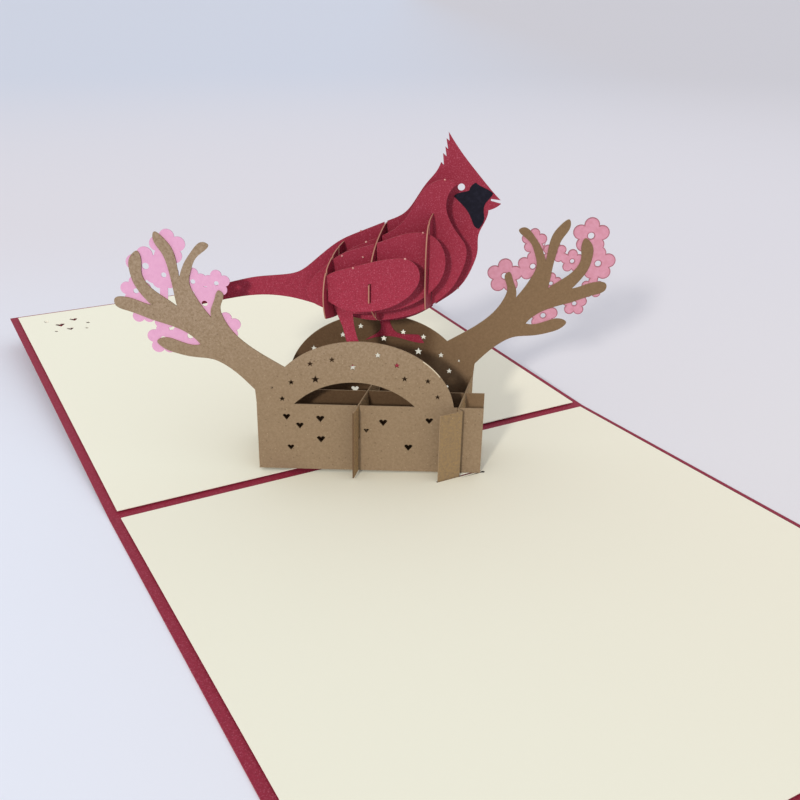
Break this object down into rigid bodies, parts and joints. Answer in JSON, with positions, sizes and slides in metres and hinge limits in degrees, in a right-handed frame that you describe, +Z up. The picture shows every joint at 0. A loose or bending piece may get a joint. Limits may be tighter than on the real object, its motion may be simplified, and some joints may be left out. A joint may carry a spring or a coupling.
{
  "type": "pop up card",
  "caption": "Square greeting card standing open, with a die-cut bird of slotted slices on an arched brown lattice between blossoming branches.",
  "frame": {"origin": "middle of the fold, at the surface the card lies on", "axes": "+X along the fold towards the bird's head, +Y from the near half to the lifted far half, +Z up"},
  "size_m": [0.15, 0.2957, 0.0908],
  "materials": {
    "cover_card": "matt red card with a faint shimmer",
    "page_paper": "matt cream paper",
    "tape": "white double-sided tape",
    "kraft_card": "matt brown kraft card with fine fibres",
    "near_blossom_card": "matt pink card",
    "far_blossom_card": "matt pink card",
    "bird_card": "red pearlescent card with a fine speckle",
    "mask_paper": "matt navy black paper"
  },
  "bodies": {
    "root": {"cover": "cover_card", "near_page": "page_paper", "far_page": "page_paper", "near_tape": "tape", "far_tape": "tape", "front_wall": "kraft_card", "back_wall": "kraft_card", "mid_wall": "kraft_card", "mid_cross_wall": "kraft_card", "near_blossoms": "near_blossom_card", "far_blossoms": "far_blossom_card", "near_wing_slice": "bird_card", "near_leg_slice": "bird_card", "near_breast_slice": "bird_card", "centre_slice": "bird_card", "far_breast_slice": "bird_card", "far_leg_slice": "bird_card", "far_wing_slice": "bird_card", "tail_rib": "bird_card", "middle_rib": "bird_card", "breast_rib": "bird_card", "near_mask": "mask_paper", "far_mask": "mask_paper"}
  },
  "joints": []
}
